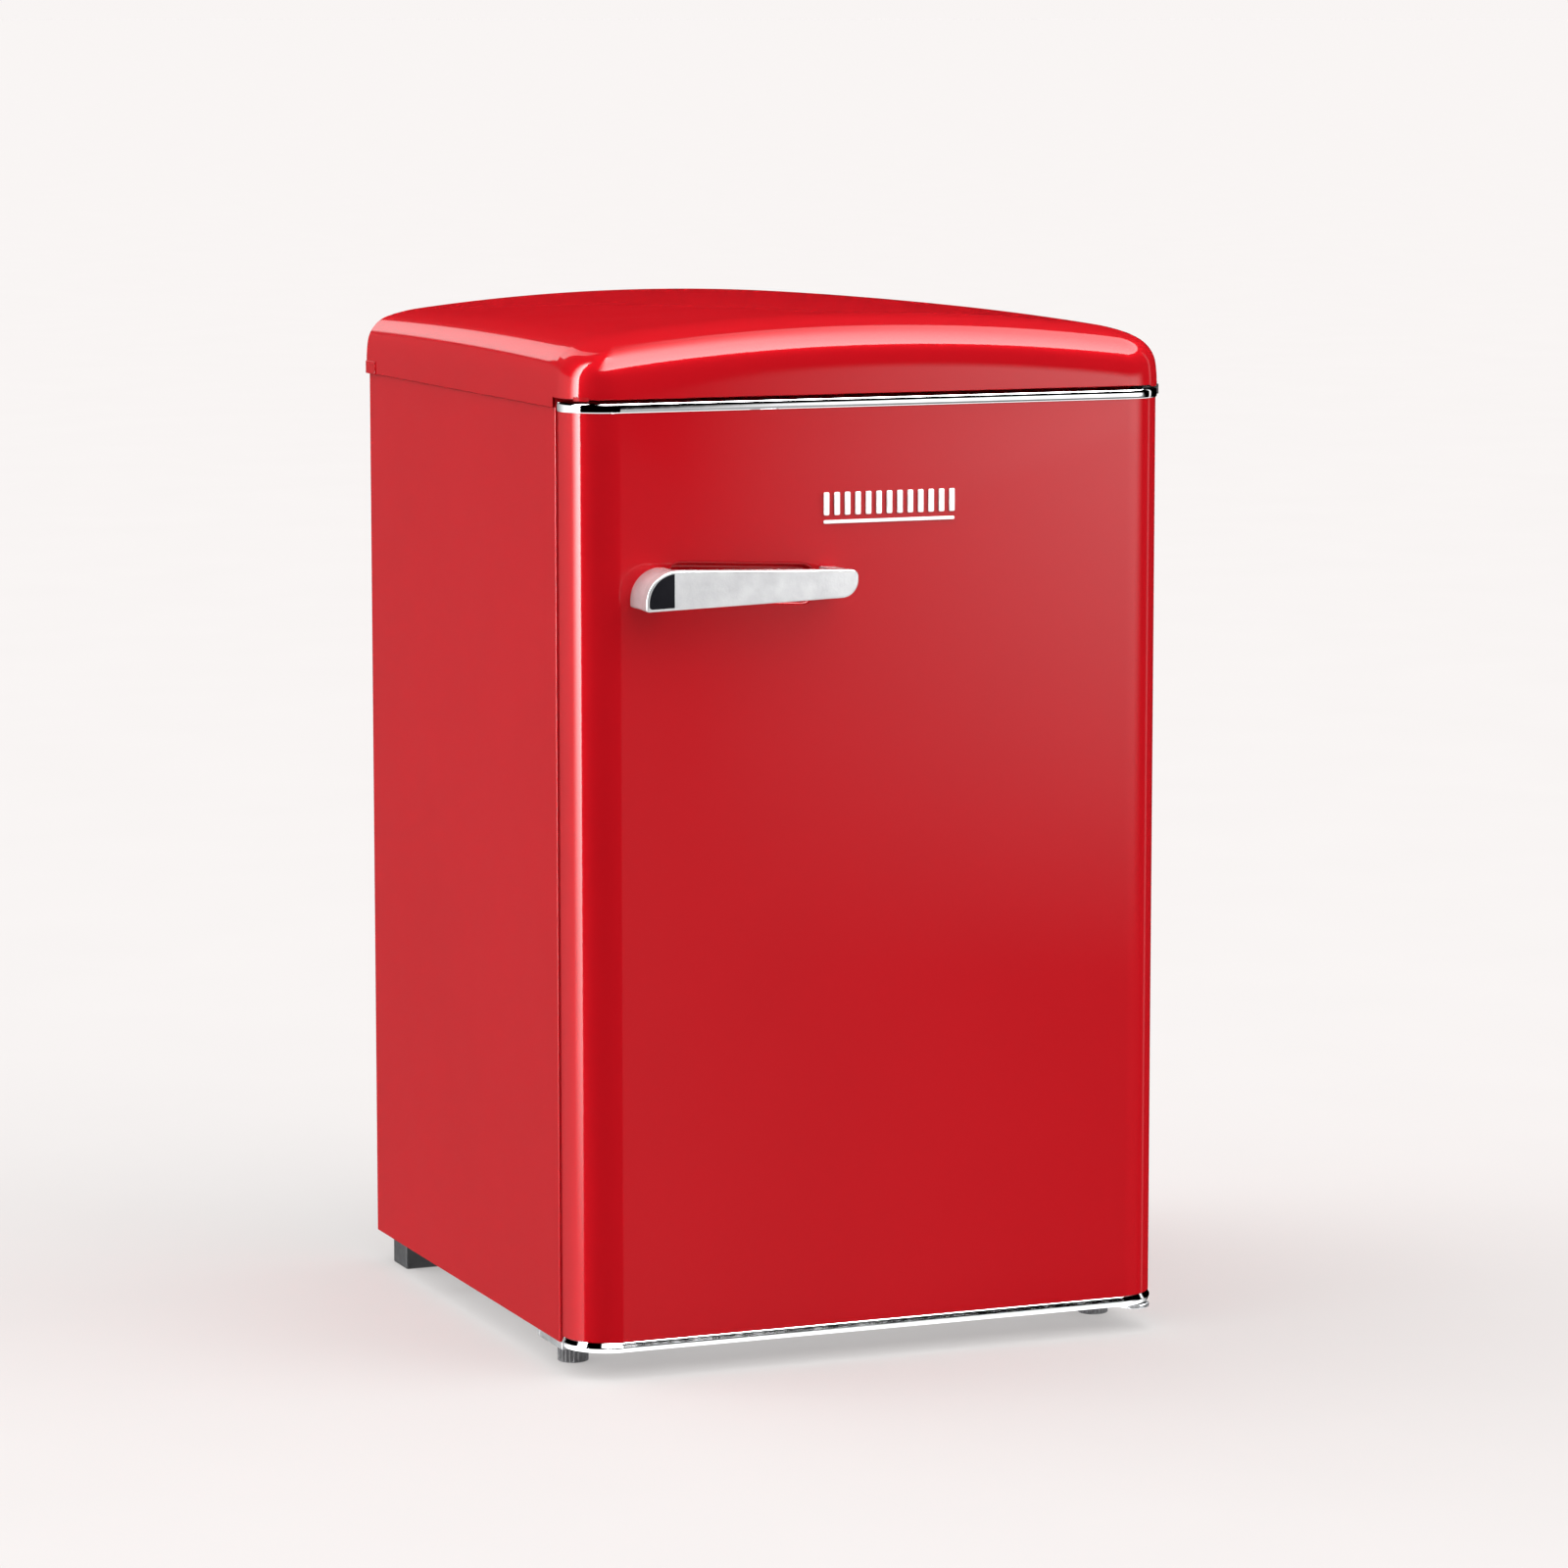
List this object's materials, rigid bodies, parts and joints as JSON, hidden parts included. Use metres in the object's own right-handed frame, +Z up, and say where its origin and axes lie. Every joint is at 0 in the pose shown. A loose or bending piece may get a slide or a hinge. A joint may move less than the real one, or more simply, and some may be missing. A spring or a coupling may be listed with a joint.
{
  "type": "retro table-top refrigerator",
  "caption": "Table-top fridge with rounded door and arched lid, bar handle, chrome trims, ice compartment, shelves, crisper and rear compressor.",
  "frame": {"origin": "on the floor under the middle of the overall box", "axes": "+Z up, -Y is the door's front, +X is the hinge side"},
  "size_m": [0.55, 0.615, 0.895],
  "materials": {
    "red_paint": "high gloss",
    "red_lid": "high gloss",
    "galvanised_steel": "satin",
    "steel": "bright",
    "black_steel": "semi-gloss",
    "chrome": "polished",
    "copper": "drawn",
    "evaporator_aluminium": "anodised",
    "white_liner": "gloss",
    "white_plastic": "satin",
    "clear_plastic": "clear",
    "grey_plastic": "matte",
    "dark_plastic": "matte",
    "black_enamel": "gloss",
    "badge": "gloss",
    "gasket": "matte",
    "black_rubber": "matte",
    "foam": "closed cell foam",
    "shelf_glass": "clear, green edge",
    "lamp_glass": "frosted"
  },
  "bodies": {
    "cabinet": {"side_panel_left": "red_paint", "side_panel_right": "red_paint", "top_panel": "galvanised_steel", "back_panel": "galvanised_steel", "base_pan": "galvanised_steel", "front_rail_top": "red_paint", "front_rail_bottom": "red_paint", "inner_liner": "white_liner", "cabinet_foam": "foam", "shelf_rails": "white_liner", "lid": "red_lid", "upper_hinge_bracket": "black_steel", "lower_hinge_bracket": "galvanised_steel", "foot_plate_left": "galvanised_steel", "hinge_pins": "steel", "hinge_screws": "steel", "foot_inserts": "steel", "rear_foot_left": "dark_plastic", "rear_foot_right": "dark_plastic", "compressor": "black_steel", "compressor_feet": "black_steel", "compressor_grommets": "black_rubber", "compressor_rail": "galvanised_steel", "relay_box": "dark_plastic", "condenser_tube": "black_steel", "condenser_wires": "black_steel", "condenser_brackets": "dark_plastic", "filter_drier": "copper", "refrigerant_pipes": "copper", "evaporation_tray": "dark_plastic", "drain_tube": "white_liner", "rear_spacers": "dark_plastic", "cord_gland": "dark_plastic", "ice_box": "evaporator_aluminium", "ice_box_frame": "white_plastic", "thermostat_housing": "white_plastic", "lamp_bulb": "lamp_glass", "lamp_lens": "clear_plastic", "switch_housing": "white_plastic", "glass_shelves": "shelf_glass", "shelf_trims": "white_plastic"},
    "door": {"door_skin": "red_paint", "door_top_trim": "chrome", "door_bottom_trim": "chrome", "door_liner": "white_liner", "door_foam": "foam", "door_gasket": "gasket", "hinge_bushes": "dark_plastic", "handle": "chrome", "handle_inlay": "black_enamel", "door_badge": "badge", "bottle_rack": "clear_plastic", "middle_rack": "clear_plastic", "upper_rack": "clear_plastic"},
    "ice_flap": {"ice_flap": "white_plastic"},
    "crisper": {"crisper_drawer": "clear_plastic"},
    "thermostat_dial": {"thermostat_dial": "white_plastic"},
    "light_switch": {"light_switch_plunger": "grey_plastic"},
    "front_foot_left": {"front_foot_left": "grey_plastic"},
    "front_foot_right": {"front_foot_right": "grey_plastic"}
  },
  "joints": [
    {"name": "door_swing", "type": "hinge", "parent": "cabinet", "child": "door", "pos_m": [0.2545, -0.244, 0.43], "axis": [0, 0, 1], "range_deg": [0, 120]},
    {"name": "light_switch_travel", "type": "slide", "parent": "cabinet", "child": "light_switch", "axis": [0, -1, 0], "range_m": [0, 0.005]},
    {"name": "ice_flap_tilt", "type": "hinge", "parent": "cabinet", "child": "ice_flap", "pos_m": [0, -0.12, 0.677], "axis": [1, 0, 0], "range_deg": [0, 90]},
    {"name": "crisper_slide", "type": "slide", "parent": "cabinet", "child": "crisper", "axis": [0, -1, 0], "range_m": [0, 0.108]},
    {"name": "thermostat_turn", "type": "hinge", "parent": "cabinet", "child": "thermostat_dial", "pos_m": [0.186, -0.065, 0.619], "axis": [-1, 0, 0], "range_deg": [-150, 150]},
    {"name": "front_foot_left_turn", "type": "hinge", "parent": "cabinet", "child": "front_foot_left", "pos_m": [-0.246, -0.179, 0.02], "axis": [0, 0, 1], "continuous": true},
    {"name": "front_foot_right_turn", "type": "hinge", "parent": "cabinet", "child": "front_foot_right", "pos_m": [0.246, -0.179, 0.02], "axis": [0, 0, 1], "continuous": true}
  ],
  "couplings": [
    {"joint": "light_switch_travel", "follows": "door_swing", "m_per_rad": 0.002387}
  ]
}
